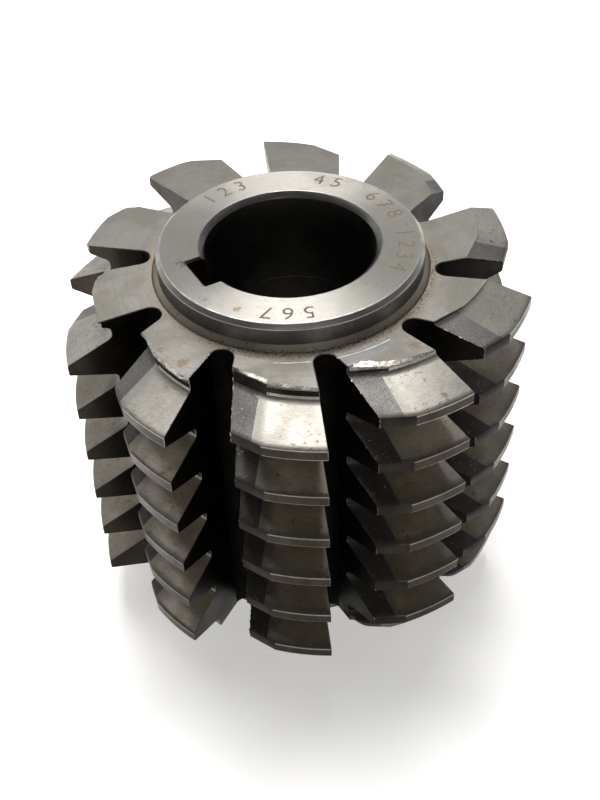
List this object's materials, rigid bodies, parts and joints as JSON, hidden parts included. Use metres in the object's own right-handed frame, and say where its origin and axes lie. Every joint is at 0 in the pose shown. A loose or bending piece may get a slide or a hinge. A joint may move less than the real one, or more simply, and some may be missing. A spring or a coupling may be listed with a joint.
{
  "type": "gear hob",
  "caption": "Bored gear hob: one ground steel cylinder with a screw thread of rack teeth, straight gashes, short hubs and a keyed bore.",
  "frame": {"origin": "middle of the lower hub face, on the bore axis", "axes": "+Z along the bore axis, out of the upper hub face; -X towards the keyway; the thread is right-handed about Z and the cutting faces look counter-clockwise seen from above"},
  "size_m": [0.0898, 0.0872, 0.08],
  "materials": {
    "tool_steel": "ground high speed steel with lightly stained end faces"
  },
  "bodies": {
    "root": {"gear_hob": "tool_steel"}
  },
  "joints": []
}
